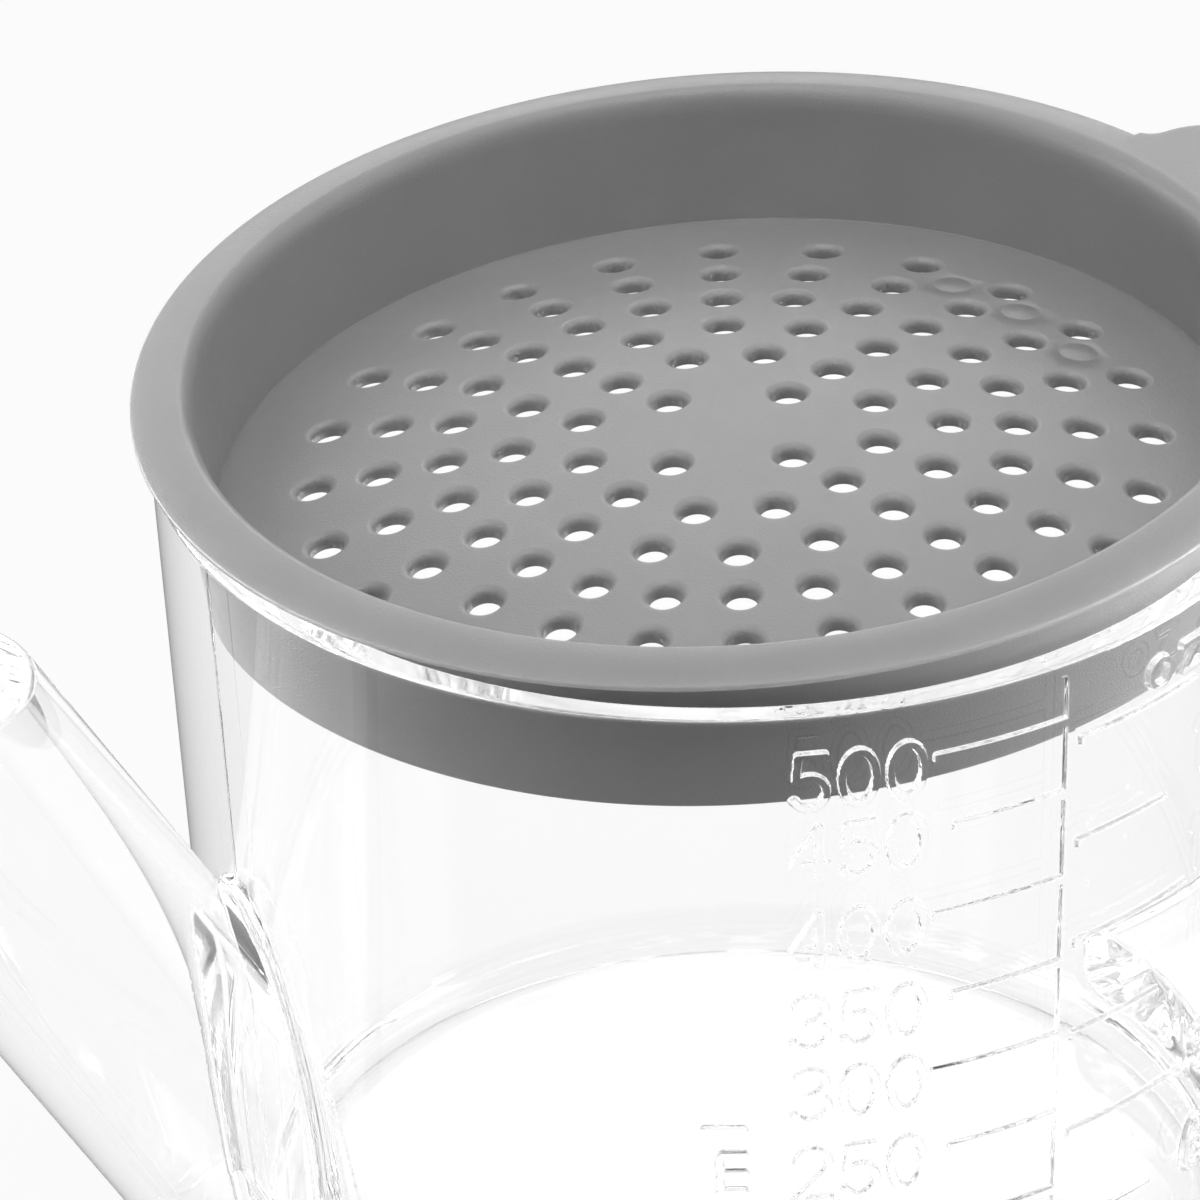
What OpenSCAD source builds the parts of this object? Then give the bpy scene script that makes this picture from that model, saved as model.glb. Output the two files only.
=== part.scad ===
// Clear measuring jug with a straight pouring spout low on its wall,
// an ear handle opposite, and a loose strainer that sits in its mouth.
// The origin is the centre of the base. The spout points to -X, the handle to +X.

/* [Jug] */
// Height of the jug from its base to its rim
jug_h = 84; // [72:1:116]
// Outer diameter of the jug at its rim
rim_d = 97.5; // [88:0.5:130]
// Thickness of the jug wall
wall_t = 2.5; // [1.8:0.1:3.5]
// Draft of the jug wall, in degrees
draft = 2; // [0.5:0.25:3]
// Thickness of the floor
floor_t = 3.2; // [2.6:0.1:5]
// Radius of the rounded heel under the wall
heel_r = 2.2; // [1:0.1:2.4]
// Radius of the fillet inside, where wall meets floor
inner_fillet_r = 4; // [2:0.5:6]
// Radius of the rounded edges of the rim
rim_edge_r = 0.5; // [0.3:0.1:0.8]

/* [Spout] */
// Distance from the rim's outer edge to the centre of the spout's mouth
spout_out = 29.7; // [26:0.1:40]
// How far the spout's mouth lies below the rim
spout_drop = 2.7; // [0:0.1:8]
// Height above the base where the spout's axis meets the jug wall
spout_root_h = 25; // [24.5:0.5:32]
// Outer diameter of the spout at its mouth
spout_d = 22.8; // [20:0.1:25]
// Outer diameter of the spout at its root
spout_root_d = 23.8; // [22:0.1:26]
// Thickness of the spout's wall
spout_wall = 2.3; // [1.6:0.1:3]
// Height of the opening through the jug wall, at the foot of the spout's bore
passage_h = 12; // [9:0.5:15]

/* [Handle] */
// Width of the handle
handle_w = 24.5; // [16:0.5:28]
// Thickness of the handle's strap
handle_t = 7; // [5.5:0.5:9]
// Radius of the strap's rounded long edges
handle_edge_r = 2.5; // [1:0.1:2.6]
// Clear depth between the jug wall at the rim and the grip
finger_gap = 27; // [22:1:34]
// How far the top of the handle lies below the rim
handle_drop = 2.5; // [2:0.5:10]
// Height of the underside of the handle's lower arm above the base
handle_base = 4.7; // [3.5:0.1:12]
// Radius of the handle's bends along its middle line
bend_r = 14; // [11:1:18]

/* [Scales] */
// Height by which the raised marks stand out of the wall
mark_h = 0.4; // [0.2:0.05:0.6]
// Width of a raised mark
mark_w = 0.9; // [0.6:0.1:1.4]
// Direction of the upright rule between the scales, in degrees
rule_az = -85; // [-100:0.5:-80]
// Gap between the upright rule and the ounce marks, in degrees
rule_gap_angle = 0.6; // [0.4:0.1:2]
// Length of a long millilitre mark, in degrees round the wall
ml_long_angle = 14; // [10:0.5:18]
// Length of a short millilitre mark, in degrees round the wall
ml_short_angle = 12; // [6:0.5:14]
// Length of a long ounce mark, in degrees round the wall
oz_long_angle = 16; // [10:0.5:18]
// Length of a short ounce mark, in degrees round the wall
oz_short_angle = 12; // [6:0.5:14]

/* [Strainer] */
// How far the strainer's flange reaches out over the rim
flange_over = 1.25; // [0.5:0.25:4]
// Height of the flange's crown over its flat underside
flange_t = 2; // [1.6:0.1:3]
// Radius of the flange's crowned top
crown_r = 5; // [4.6:0.1:8]
// Radius of the roll from the crown into the bowl
roll_r = 1.3; // [0.8:0.1:1.5]
// Depth of the bowl below the flange's underside
bowl_drop = 13.5; // [11:0.5:18]
// Thickness of the bowl's wall
bowl_wall_t = 1.4; // [1.2:0.1:2.2]
// Draft of the bowl's wall, in degrees
bowl_draft = 4; // [2:0.25:5]
// Radius of the rounded corner between the bowl's wall and its floor
bowl_corner_r = 3; // [2:0.25:4]
// Clearance between the bowl and the mouth of the jug
fit_gap = 0.45; // [0.3:0.05:0.8]
// Height at which the flange's underside hangs over the rim
hover = 4.8; // [4.5:0.1:7]
// Tilt of the strainer, tab side up, in degrees
tilt = 2.6; // [0:0.1:3]
// Thickness of the perforated floor
sieve_t = 1.5; // [1.2:0.1:2.2]
// Rise of the floor's middle over its edge
dome_rise = 5.2; // [2:0.1:6]
// Turn of the hole pattern from the tab, in degrees
hole_turn = 18; // [0:1:45]
// Diameter of the holes
hole_d = 2.8; // [2:0.1:3.4]
// Radius of the first ring of holes
ring_first = 7.15; // [6.5:0.05:8]
// Step between rings of holes
ring_step = 5.66; // [5:0.01:6]
// Least width left whole between the last ring of holes and the bowl's corner
ring_margin = 1.5; // [1:0.1:4]
// Width of the lifting tab
tab_w = 21.8; // [16:0.1:30]
// Reach of the lifting tab beyond the flange
tab_reach = 5.6; // [4:0.1:12]
// Radius of the lifting tab's round corners
tab_corner_r = 6.5; // [4:0.1:7.5]
// Radius of the fillets between the tab and the flange
tab_fillet_r = 1.2; // [0.5:0.1:3]

/* [Hidden] */
$fn = 96;
eps = 0.01;
clear_plastic = [0.90, 0.92, 0.93, 0.45];
grey_plastic = [0.47, 0.47, 0.47];

rim_r = rim_d / 2;
mouth_r = rim_r - wall_t;
// Outer radius of the jug at a height
function outer_r(z) = rim_r - (jug_h - z) * tan(draft);
// Inner radius of the jug at a height
function inner_r(z) = outer_r(z) - wall_t;

spout_mouth_x = rim_r + spout_out;
spout_mouth_z = jug_h - spout_drop;
spout_rise = spout_mouth_z - spout_root_h;
spout_run = spout_mouth_x - outer_r(spout_root_h);
spout_slope = atan2(spout_rise, spout_run);
spout_len = spout_mouth_z / sin(spout_slope);
bore_d = spout_d - 2 * spout_wall;
bore_root_d = spout_root_d - 2 * spout_wall;
passage_low = floor_t + inner_fillet_r;
passage_top = spout_root_h - bore_root_d / 2 / cos(spout_slope) + passage_h;

handle_top_z = jug_h - handle_drop - handle_t / 2;
handle_low_z = handle_base + handle_t / 2;
grip_x = rim_r + finger_gap + handle_t / 2;
arm_x = grip_x - bend_r;

// Depths of the marks below the rim, as they stand on a jug 84 mm tall
ml_depths = [5.4, 12.4, 20.8, 29.1, 36.4, 44.4, 52.2, 60.2, 68.3];
oz_depths = [7.8, 17.8, 27.8, 37, 47, 56.8, 66.6];
depth_scale = jug_h / 84;
rule_half = mark_w / rim_r / 2 * 180 / PI;

flange_r = rim_r + flange_over;
// Outer radius of the bowl's wall at a height over the flange's underside
function bowl_r(z) = mouth_r - fit_gap + (z + hover) * tan(bowl_draft);
// Inner radius of the bowl's wall at the same height
function bowl_in(z) = bowl_r(z) - bowl_wall_t;
sieve_edge_z = sieve_t - bowl_drop;
sieve_r = bowl_in(sieve_edge_z);
dome_ball_r = (sieve_r * sieve_r + dome_rise * dome_rise) / (2 * dome_rise);
dome_ball_z = sieve_edge_z + dome_rise - dome_ball_r;
// Height of the domed floor's upper face at a radius
function dome_z(r) = dome_ball_z + sqrt(dome_ball_r * dome_ball_r - r * r);
sieve_join_r = bowl_r(-bowl_drop) - bowl_corner_r;
ring_counts = [4, 12, 16, 24, 24, 24, 32, 32, 40, 40, 48];
ring_room = sieve_join_r - hole_d / 2 - ring_margin - ring_first;
ring_total = min(len(ring_counts), floor(ring_room / ring_step) + 1);
tab_corner_x = flange_r + tab_reach - tab_corner_r;
tab_corner_y = tab_w / 2 - tab_corner_r;
seat_shift = -hover * sin(tilt);

// Places what is drawn along the spout, with Z along its axis and its mouth's centre at the origin
module along_spout() {
    translate([-spout_mouth_x, 0, spout_mouth_z])
        rotate([0, spout_slope - 90, 0])
            children();
}

// A cone along the spout's axis, from below the jug's floor to beyond the mouth
module spout_cone(mouth_d, root_d, more) {
    grow = (root_d - mouth_d) / spout_len;
    low = spout_len + more;
    high = spout_d + more;
    along_spout()
        translate([0, 0, -low])
            cylinder(h = low + high, d1 = mouth_d + grow * low, d2 = mouth_d - grow * high);
}

// The outer form of the jug, carried on below its base
module cup_form() {
    translate([0, 0, -spout_d])
        cylinder(h = jug_h + spout_d, r1 = outer_r(-spout_d), r2 = rim_r);
}

// Section of the jug wall, standing on the floor
module wall_section() {
    difference() {
        union() {
            polygon([
                [inner_r(floor_t), floor_t],
                [outer_r(floor_t), floor_t],
                [outer_r(jug_h - rim_edge_r), jug_h - rim_edge_r],
                [inner_r(jug_h - rim_edge_r), jug_h - rim_edge_r]
            ]);
            translate([mouth_r + rim_edge_r, jug_h - rim_edge_r - eps])
                square([wall_t - 2 * rim_edge_r, rim_edge_r + eps]);
            for (r = [mouth_r + rim_edge_r, rim_r - rim_edge_r])
                translate([r, jug_h - rim_edge_r])
                    circle(r = rim_edge_r, $fn = 48);
            translate([inner_r(floor_t) - inner_fillet_r, floor_t])
                square([inner_fillet_r + eps, inner_fillet_r]);
        }
        translate([inner_r(floor_t) - inner_fillet_r, floor_t + inner_fillet_r])
            circle(r = inner_fillet_r);
    }
}

module cup_wall() {
    color(clear_plastic)
        difference() {
            rotate_extrude()
                wall_section();
            intersection() {
                spout_cone(bore_d, bore_root_d, 0);
                translate([-rim_r, -spout_d, passage_low])
                    cube([rim_r, 2 * spout_d, passage_top - passage_low]);
            }
        }
}

module cup_floor() {
    heel_x = outer_r(heel_r) - heel_r;
    color(clear_plastic)
        rotate_extrude()
            union() {
                square([heel_x, floor_t]);
                intersection() {
                    translate([heel_x, heel_r])
                        circle(r = heel_r, $fn = 64);
                    square([rim_r, heel_r]);
                }
                polygon([
                    [0, heel_r],
                    [outer_r(heel_r), heel_r],
                    [outer_r(floor_t), floor_t],
                    [0, floor_t]
                ]);
            }
}

module spout() {
    color(clear_plastic)
        difference() {
            intersection() {
                spout_cone(spout_d, spout_root_d, 0);
                translate([-spout_mouth_x - 2 * spout_d, -spout_d, heel_r])
                    cube([spout_mouth_x + 2 * spout_d, 2 * spout_d, spout_mouth_z - heel_r]);
            }
            spout_cone(bore_d, bore_root_d, 5);
            cup_form();
        }
}

// Section of the handle's strap: its width along X, its thickness along Y
module strap_section() {
    w = handle_w / 2 - handle_edge_r;
    t = handle_t / 2 - handle_edge_r;
    square([2 * w, handle_t], center = true);
    square([handle_w, 2 * t], center = true);
    for (x = [-w, w])
        for (y = [-t, t])
            translate([x, y])
                circle(r = handle_edge_r, $fn = 48);
}

// One arm of the handle with its bend, drawn about the middle height of its strap
module handle_arm() {
    rotate([90, 0, 90])
        linear_extrude(height = arm_x)
            strap_section();
    translate([arm_x, 0, -bend_r])
        rotate([90, 0, 0])
            rotate_extrude(angle = 90)
                translate([bend_r, 0])
                    rotate(90)
                        strap_section();
}

module handle_top() {
    color(clear_plastic)
        difference() {
            translate([0, 0, handle_top_z])
                handle_arm();
            cup_form();
        }
}

module handle_grip() {
    color(clear_plastic)
        translate([grip_x, 0, handle_low_z + bend_r])
            rotate([0, 0, 90])
                linear_extrude(height = handle_top_z - handle_low_z - 2 * bend_r)
                    strap_section();
}

module handle_foot() {
    color(clear_plastic)
        difference() {
            translate([0, 0, handle_low_z])
                mirror([0, 0, 1])
                    handle_arm();
            cup_form();
        }
}

// One raised mark round the wall, from one direction to another
module wall_mark(z, from_az, to_az, height) {
    low = z - height / 2;
    high = z + height / 2;
    rotate([0, 0, from_az])
        rotate_extrude(angle = to_az - from_az)
            polygon([
                [outer_r(low), low],
                [outer_r(low) + mark_h, low],
                [outer_r(high) + mark_h, high],
                [outer_r(high), high]
            ]);
}

module scale_rule() {
    rule_low = jug_h - ml_depths[len(ml_depths) - 1] * depth_scale - mark_w / 2;
    rule_high = jug_h - 2 * rim_edge_r;
    color(clear_plastic)
        wall_mark((rule_low + rule_high) / 2, rule_az - rule_half, rule_az + rule_half, rule_high - rule_low);
}

module ml_marks() {
    color(clear_plastic)
        for (i = [0 : len(ml_depths) - 1])
            wall_mark(
                jug_h - ml_depths[i] * depth_scale,
                rule_az - rule_half - (i % 2 == 0 ? ml_long_angle : ml_short_angle),
                rule_az - rule_half,
                mark_w
            );
}

module oz_marks() {
    start_az = rule_az + rule_half + rule_gap_angle;
    color(clear_plastic)
        for (i = [0 : len(oz_depths) - 1])
            wall_mark(
                jug_h - oz_depths[i] * depth_scale,
                start_az,
                start_az + (i % 2 == 0 ? oz_long_angle : oz_short_angle),
                mark_w
            );
}

// Places what is drawn in the strainer's own frame on the jug.
// That frame has its origin at the middle of the flange's underside.
module seated() {
    translate([seat_shift, 0, jug_h + hover])
        rotate([0, -tilt, 0])
            children();
}

// Section of the flange: a roll on the inside, a crowned top and a thin outer edge
module flange_section() {
    top_x = bowl_in(0) + roll_r;
    intersection() {
        translate([top_x, flange_t - roll_r])
            circle(r = roll_r, $fn = 48);
        translate([bowl_in(0), flange_t - roll_r])
            square([roll_r + eps, roll_r]);
    }
    translate([bowl_in(0), 0])
        square([roll_r + eps, flange_t - roll_r]);
    intersection() {
        translate([top_x, flange_t - crown_r])
            circle(r = crown_r, $fn = 180);
        translate([top_x, 0])
            square([flange_r - top_x, flange_t + 1]);
    }
}

module strainer_flange() {
    color(grey_plastic)
        seated()
            rotate_extrude()
                flange_section();
}

module strainer_wall() {
    foot_r = bowl_r(-bowl_drop);
    color(grey_plastic)
        seated()
            rotate_extrude()
                difference() {
                    polygon([
                        [sieve_join_r, dome_z(sieve_join_r) - sieve_t],
                        [foot_r, -bowl_drop],
                        [bowl_r(0), 0],
                        [bowl_in(0), 0],
                        [sieve_r, sieve_edge_z],
                        [sieve_join_r, dome_z(sieve_join_r)]
                    ]);
                    difference() {
                        translate([sieve_join_r, -bowl_drop - 1])
                            square([bowl_corner_r + 1, bowl_corner_r + 1]);
                        translate([sieve_join_r, bowl_corner_r - bowl_drop])
                            circle(r = bowl_corner_r);
                    }
                }
}

// All the holes of the floor, drawn as discs
module hole_pattern() {
    for (ring = [0 : ring_total - 1])
        for (i = [0 : ring_counts[ring] - 1])
            rotate(hole_turn + i * 360 / ring_counts[ring])
                translate([ring_first + ring * ring_step, 0])
                    circle(d = hole_d, $fn = 24);
}

module strainer_floor() {
    color(grey_plastic)
        seated()
            difference() {
                intersection() {
                    difference() {
                        translate([0, 0, dome_ball_z])
                            sphere(r = dome_ball_r, $fn = 200);
                        translate([0, 0, dome_ball_z - sieve_t])
                            sphere(r = dome_ball_r, $fn = 200);
                    }
                    translate([0, 0, -bowl_drop - sieve_t])
                        cylinder(h = bowl_drop + sieve_t, r = sieve_join_r);
                }
                translate([0, 0, -bowl_drop - sieve_t])
                    linear_extrude(height = bowl_drop + sieve_t)
                        hole_pattern();
            }
}

// Outline of the fillets on both sides of the tab's root
module tab_fillets() {
    half = tab_w / 2;
    far_y = half + tab_fillet_r;
    far_x = sqrt(pow(flange_r + tab_fillet_r, 2) - far_y * far_y);
    near_x = sqrt(flange_r * flange_r - half * half);
    touch = flange_r / (flange_r + tab_fillet_r);
    for (side = [-1, 1])
        difference() {
            polygon([
                [near_x - 2, side * (half - 2)],
                [far_x, side * (half - 2)],
                [far_x, side * far_y],
                [far_x * touch, side * far_y * touch],
                [near_x - 2, side * half]
            ]);
            translate([far_x, side * far_y])
                circle(r = tab_fillet_r);
        }
}

// Half of the tab's section: flat out to its round edge, which lies at the given distance
module tab_edge(reach) {
    square([reach - flange_t / 2, flange_t]);
    translate([reach - flange_t / 2, flange_t / 2])
        circle(d = flange_t, $fn = 48);
}

module lift_tab() {
    color(grey_plastic)
        seated()
            difference() {
                union() {
                    for (side = [-1, 1])
                        translate([tab_corner_x, side * tab_corner_y, 0])
                            rotate_extrude()
                                tab_edge(tab_corner_r);
                    rotate([90, 0, 90])
                        linear_extrude(height = tab_corner_x) {
                            tab_edge(tab_w / 2);
                            mirror([1, 0])
                                tab_edge(tab_w / 2);
                        }
                    translate([0, tab_corner_y, 0])
                        rotate([90, 0, 0])
                            linear_extrude(height = 2 * tab_corner_y)
                                tab_edge(flange_r + tab_reach);
                    linear_extrude(height = flange_t)
                        tab_fillets();
                }
                translate([0, 0, -1])
                    cylinder(h = flange_t + 2, r = bowl_in(0) + roll_r);
                rotate_extrude()
                    flange_section();
            }
}

cup_wall();
cup_floor();
spout();
handle_top();
handle_grip();
handle_foot();
scale_rule();
ml_marks();
oz_marks();
strainer_flange();
strainer_wall();
strainer_floor();
lift_tab();
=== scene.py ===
"""Looks of the oil strainer pot: a clear measuring jug and its grey strainer.

The jug and the strainer have their sizes in millimetres and in the frame of the
model: the origin is the middle of the jug's base, +Z is up, the spout points to -X
and the handle to +X. Angles are in degrees, and a direction counts from +X towards
+Y. Their meshes are made in metres, in which the finishes and the studio are written.
"""

import logging
import math
from dataclasses import dataclass, field
from enum import Enum
from typing import Callable, Dict, List, Optional, Sequence, Tuple, Union

import bpy
import numpy as np
from mathutils import Matrix, Vector
from mathutils.geometry import delaunay_2d_cdt


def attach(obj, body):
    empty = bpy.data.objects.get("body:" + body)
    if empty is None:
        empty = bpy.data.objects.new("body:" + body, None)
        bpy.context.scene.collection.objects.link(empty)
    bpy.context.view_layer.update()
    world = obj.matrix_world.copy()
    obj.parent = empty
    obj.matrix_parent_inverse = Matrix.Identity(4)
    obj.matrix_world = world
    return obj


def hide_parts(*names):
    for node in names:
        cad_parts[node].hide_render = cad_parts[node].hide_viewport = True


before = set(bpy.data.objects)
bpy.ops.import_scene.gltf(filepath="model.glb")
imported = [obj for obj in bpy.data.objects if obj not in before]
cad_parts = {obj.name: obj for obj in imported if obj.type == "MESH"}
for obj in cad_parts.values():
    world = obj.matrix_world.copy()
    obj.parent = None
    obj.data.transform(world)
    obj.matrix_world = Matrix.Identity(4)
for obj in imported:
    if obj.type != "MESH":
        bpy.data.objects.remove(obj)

log = logging.getLogger("strainer_pot")

# Millimetres to metres, a length beyond every surface, and the least numbers that count
MM = 0.001
FAR = 1000.0
TINY = 1e-9
SAME_SPOT = 1e-6
NO_AREA = 1e-7

# Degrees between the points of a round stroke
ARC_STEP = 15.0

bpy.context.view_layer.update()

Pair = Tuple[float, float]
Socket = bpy.types.NodeSocket
Field3 = Callable[[np.ndarray, np.ndarray, np.ndarray], np.ndarray]


class Body(Enum):
    """Bodies of the frame that the pieces ride on."""

    JUG = "jug"
    STRAINER = "strainer"


class Slot(Enum):
    """Material slots named in the record."""

    CLEAR = "clear_plastic"
    GREY = "grey_plastic"


# Distance fields


def round_max(a: np.ndarray, b: np.ndarray, radius: float) -> np.ndarray:
    """Common part of two solids, with its outer edge rounded.

    Args:
        a: Signed distance to the first solid, negative inside.
        b: Signed distance to the second solid.
        radius: Radius of the rounded edge, one number or one for each point.

    Returns:
        Signed distance to the common part.
    """
    over_a = np.maximum(a + radius, 0.0)
    over_b = np.maximum(b + radius, 0.0)
    return np.minimum(np.maximum(a, b), -radius) + np.hypot(over_a, over_b)


def round_min(a: np.ndarray, b: np.ndarray, radius: float) -> np.ndarray:
    """Two solids joined, with a fillet of the given radius between them.

    Args:
        a: Signed distance to the first solid, negative inside.
        b: Signed distance to the second solid.
        radius: Radius of the fillet.

    Returns:
        Signed distance to the joined solid.
    """
    return -round_max(-a, -b, radius)


def gradient(distance: Field3, points: np.ndarray, step: float = 0.02) -> np.ndarray:
    """Slope of a distance field by central differences.

    Args:
        distance: The field.
        points: Rows of x, y, z.
        step: Half of the distance between the two samples on each axis.

    Returns:
        Rows of slopes, one for each point.
    """
    slopes = np.empty_like(points)
    for axis in range(3):
        ahead, behind = points.copy(), points.copy()
        ahead[:, axis] += step
        behind[:, axis] -= step
        slopes[:, axis] = (distance(*ahead.T) - distance(*behind.T)) / (2 * step)
    return slopes


def onto_surface(
    distance: Field3,
    points: np.ndarray,
    rounds: int = 3,
    longest: float = 0.4,
    flattest: float = 0.2,
) -> np.ndarray:
    """Moves points onto the zero level of a distance field, along its slope.

    Args:
        distance: The field.
        points: Rows of x, y, z near the zero level.
        rounds: Number of moves.
        longest: Longest single move.
        flattest: Least square of the slope that a move reckons with.

    Returns:
        The moved points.
    """
    for _ in range(rounds):
        slopes = gradient(distance, points)
        reach = np.maximum((slopes**2).sum(1), flattest)
        step = np.clip(distance(*points.T) / reach, -longest, longest)
        points = points - slopes * step[:, None]
    return points


def unit(rows: np.ndarray) -> np.ndarray:
    """Rows scaled to length one."""
    return rows / np.maximum(np.linalg.norm(rows, axis=1, keepdims=True), TINY)


# Meshing


@dataclass
class Skin:
    """Points, outward directions and faces of a surface, in millimetres."""

    points: np.ndarray
    normals: np.ndarray
    faces: List[Tuple[int, ...]]

    def joined(self, other: "Skin") -> "Skin":
        """Both skins as one, without merging points.

        Args:
            other: The skin to add.

        Returns:
            The joined skin.
        """
        shift = len(self.points)
        moved = [tuple(i + shift for i in face) for face in other.faces]
        return Skin(
            np.vstack([self.points, other.points]),
            np.vstack([self.normals, other.normals]),
            self.faces + moved,
        )

    def as_object(self, name: str) -> bpy.types.Object:
        """Makes a smooth Blender mesh in metres, with these outward directions.

        Args:
            name: Name of the object and of its mesh.

        Returns:
            The object, in the scene.
        """
        mesh = bpy.data.meshes.new(name)
        mesh.from_pydata((self.points * MM).tolist(), [], self.faces)
        mesh.shade_smooth()
        mesh.normals_split_custom_set_from_vertices(unit(self.normals).tolist())
        mesh.update()
        made = bpy.data.objects.new(name, mesh)
        bpy.context.scene.collection.objects.link(made)
        return made


@dataclass
class RoundGrid:
    """Grid of radii, directions and heights round the Z axis, closed all round.

    The radii may be drafted: place() gives the real radius of a grid radius at a
    height, so that grid lines follow a tapered wall.
    """

    radii: np.ndarray
    angles: np.ndarray
    heights: np.ndarray
    place: Callable[[np.ndarray, np.ndarray], np.ndarray]

    def nodes(self, columns: np.ndarray) -> Tuple[np.ndarray, np.ndarray, np.ndarray]:
        """Places of the grid nodes in some columns of directions.

        Args:
            columns: Numbers of the columns of directions.

        Returns:
            One array each of x, y and z, by radius, column and height.
        """
        r = self.place(self.radii[:, None], self.heights[None, :])[:, None, :]
        turn = self.angles[columns][None, :, None]
        z = np.broadcast_to(self.heights, (len(self.radii), len(columns), len(self.heights)))
        return r * np.cos(turn), r * np.sin(turn), z

    def skin(self, values: np.ndarray, distance: Field3) -> Tuple[Skin, np.ndarray]:
        """Meshes the zero level of a distance field.

        Args:
            values: The field at the grid nodes.
            distance: The field itself, for the last placing of the points.

        Returns:
            The skin, and for each grid cell the number of its point or -1.
        """
        closed = np.concatenate([values, values[:, :1]], axis=1)
        turns = np.append(self.angles, self.angles[0] + 2 * math.pi)
        inside = closed < 0
        shape = tuple(n - 1 for n in closed.shape)
        count = np.zeros(shape, np.int8)
        corners = [(a, b, c) for a in (0, 1) for b in (0, 1) for c in (0, 1)]
        for a, b, c in corners:
            count += inside[a : a + shape[0], b : b + shape[1], c : c + shape[2]]
        cells = np.argwhere((count > 0) & (count < 8))
        number = np.full(shape, -1, np.int64)
        number[tuple(cells.T)] = np.arange(len(cells))
        grid_points = self._crossings(closed, cells, corners, turns)
        r = self.place(grid_points[:, 0], grid_points[:, 2])
        points = np.c_[r * np.cos(grid_points[:, 1]), r * np.sin(grid_points[:, 1]), grid_points[:, 2]]
        points = onto_surface(distance, points)
        faces = self._faces(inside, number)
        return Skin(points, unit(gradient(distance, points)), faces), number

    def _crossings(
        self,
        closed: np.ndarray,
        cells: np.ndarray,
        corners: Sequence[Tuple[int, int, int]],
        turns: np.ndarray,
    ) -> np.ndarray:
        """Mean of the places where the field changes sign on each cell's edges.

        Args:
            closed: The field at the grid nodes, with the first column of directions repeated.
            cells: Rows of radius, direction and height numbers of the cells.
            corners: Steps from a cell to its eight corners.
            turns: Directions of the columns, with the first one repeated a turn further on.

        Returns:
            Rows of grid radius, direction and height, one for each cell.
        """
        total = np.zeros((len(cells), 3))
        hits = np.zeros(len(cells))
        for start in corners:
            for axis in range(3):
                if start[axis]:
                    continue
                end = list(start)
                end[axis] = 1
                low, high = cells + start, cells + end
                f_low, f_high = closed[tuple(low.T)], closed[tuple(high.T)]
                hit = (f_low < 0) != (f_high < 0)
                share = np.where(hit, f_low / np.where(hit, f_low - f_high, 1.0), 0.0)
                ends = []
                for at in (low, high):
                    ends.append(np.c_[self.radii[at[:, 0]], turns[at[:, 1]], self.heights[at[:, 2]]])
                total += (ends[0] + share[:, None] * (ends[1] - ends[0])) * hit[:, None]
                hits += hit
        return total / hits[:, None]

    def _faces(self, inside: np.ndarray, number: np.ndarray) -> List[Tuple[int, ...]]:
        """Quads across every grid edge on which the field changes sign.

        Args:
            inside: Whether each grid node is inside the body.
            number: Number of each cell's point, or -1.

        Returns:
            The quads, turned so that they face outwards.
        """
        turns = number.shape[1]
        quads = []
        for axis in range(3):
            low = [slice(None)] * 3
            high = [slice(None)] * 3
            low[axis], high[axis] = slice(0, -1), slice(1, None)
            change = inside[tuple(low)] != inside[tuple(high)]
            at = np.argwhere(change)
            at = at[at[:, 1] < turns]
            others = [a for a in range(3) if a != axis]
            keep = np.ones(len(at), bool)
            for other in others:
                if other != 1:
                    keep &= (at[:, other] > 0) & (at[:, other] < number.shape[other])
            at = at[keep]
            outward = inside[tuple(at.T)]
            ring = []
            for back in ((0, 0), (1, 0), (1, 1), (0, 1)):
                cell = at.copy()
                for other, steps in zip(others, back):
                    cell[:, other] -= steps
                cell[:, 1] %= turns
                ring.append(number[tuple(cell.T)])
            quad = np.stack(ring, 1)
            if axis == 1:
                outward = ~outward
            quad[~outward] = quad[~outward][:, ::-1]
            quads.append(quad)
        return [tuple(q) for q in np.vstack(quads).tolist()]


def steps(*stops: float) -> np.ndarray:
    """Grid lines from alternating stops and spacings.

    Args:
        stops: start, spacing, end, spacing, end and so on.

    Returns:
        Rising values, with each stretch divided evenly at about its spacing.
    """
    lines = [stops[0]]
    for spacing, end in zip(stops[1::2], stops[2::2]):
        parts = max(1, round((end - lines[-1]) / spacing))
        lines.extend(np.linspace(lines[-1], end, parts + 1)[1:])
    return np.array(lines)


def stretches(rows: Sequence[Sequence[float]]) -> np.ndarray:
    """Grid lines of several stretches, each written as steps() takes it."""
    return np.concatenate([steps(*row) for row in rows])


# Finishes


@dataclass(frozen=True)
class Mottle:
    """Noise that varies a value over a surface: cells in a metre, finer layers and range."""

    scale: float
    detail: float
    low: float = 0.0
    high: float = 1.0


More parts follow.
